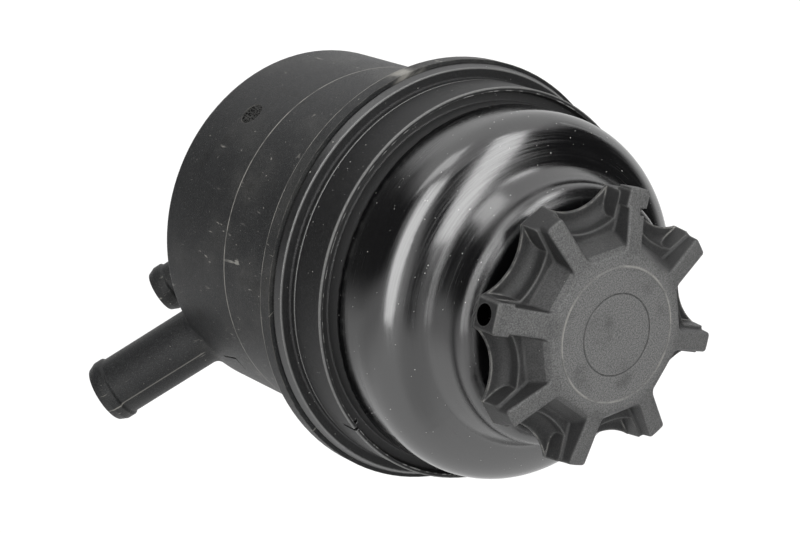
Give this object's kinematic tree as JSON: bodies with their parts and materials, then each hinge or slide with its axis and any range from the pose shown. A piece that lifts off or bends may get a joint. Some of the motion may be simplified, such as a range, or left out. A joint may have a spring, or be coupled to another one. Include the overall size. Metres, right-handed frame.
{
  "type": "power steering reservoir",
  "caption": "Power steering fluid reservoir: grey cylindrical housing with two down-sloping hose spigots, gloss black domed shell and lobed screw filler cap with dipstick.",
  "frame": {"origin": "on the housing's axis, at the middle of the cylindrical wall that the clamp band holds", "axes": "+Z along the axis towards the filler cap, +X the way both hose spigots point"},
  "size_m": [0.1284, 0.107, 0.167],
  "materials": {
    "housing_nylon": "matt moulded, glass-filled nylon, dark grey",
    "shell_gloss": "gloss black, polished in the mould",
    "cap_plastic": "spark-eroded texture, dark grey",
    "insert_plastic": "plain moulded, black",
    "dipstick_plastic": "plain moulded, natural",
    "seal_rubber": "moulded nitrile rubber",
    "filter_steel": "tinned sheet steel",
    "filter_cloth": "pleated resin-treated filter paper",
    "spring_wire": "oiled spring wire"
  },
  "bodies": {
    "reservoir": {"lower_housing": "housing_nylon", "upper_shell": "shell_gloss", "hold_down_spring": "spring_wire"},
    "filter": {"filter_seal": "seal_rubber", "filter_lower_cap": "filter_steel", "filter_core": "filter_steel", "filter_mesh": "filter_cloth", "filter_upper_cap": "filter_steel"},
    "gasket_ring": {"cap_gasket": "seal_rubber"},
    "gauge": {"dipstick": "dipstick_plastic"},
    "cap": {"cap_body": "cap_plastic", "cap_insert": "insert_plastic", "vent_valve": "seal_rubber"}
  },
  "joints": [
    {"name": "cap_lift", "type": "slide", "parent": "reservoir", "child": "gasket_ring", "axis": [0, 0, 1], "range_m": [0, 0.065]},
    {"name": "cap_rise", "type": "slide", "parent": "gasket_ring", "child": "gauge", "axis": [0, 0, 1], "range_m": [0, 0.00333]},
    {"name": "cap_turn", "type": "hinge", "parent": "gauge", "child": "cap", "pos_m": [0, 0, 0.11], "axis": [0, 0, 1], "range_deg": [0, 400]},
    {"name": "filter_lift", "type": "slide", "parent": "reservoir", "child": "filter", "axis": [0, 0, 1], "range_m": [0, 0.003], "stiffness_N_per_m": 800, "springref_m": -0.01, "deforming": ["hold_down_spring"]}
  ],
  "couplings": [
    {"joint": "cap_rise", "follows": "cap_turn", "m_per_rad": 0.00047746}
  ]
}
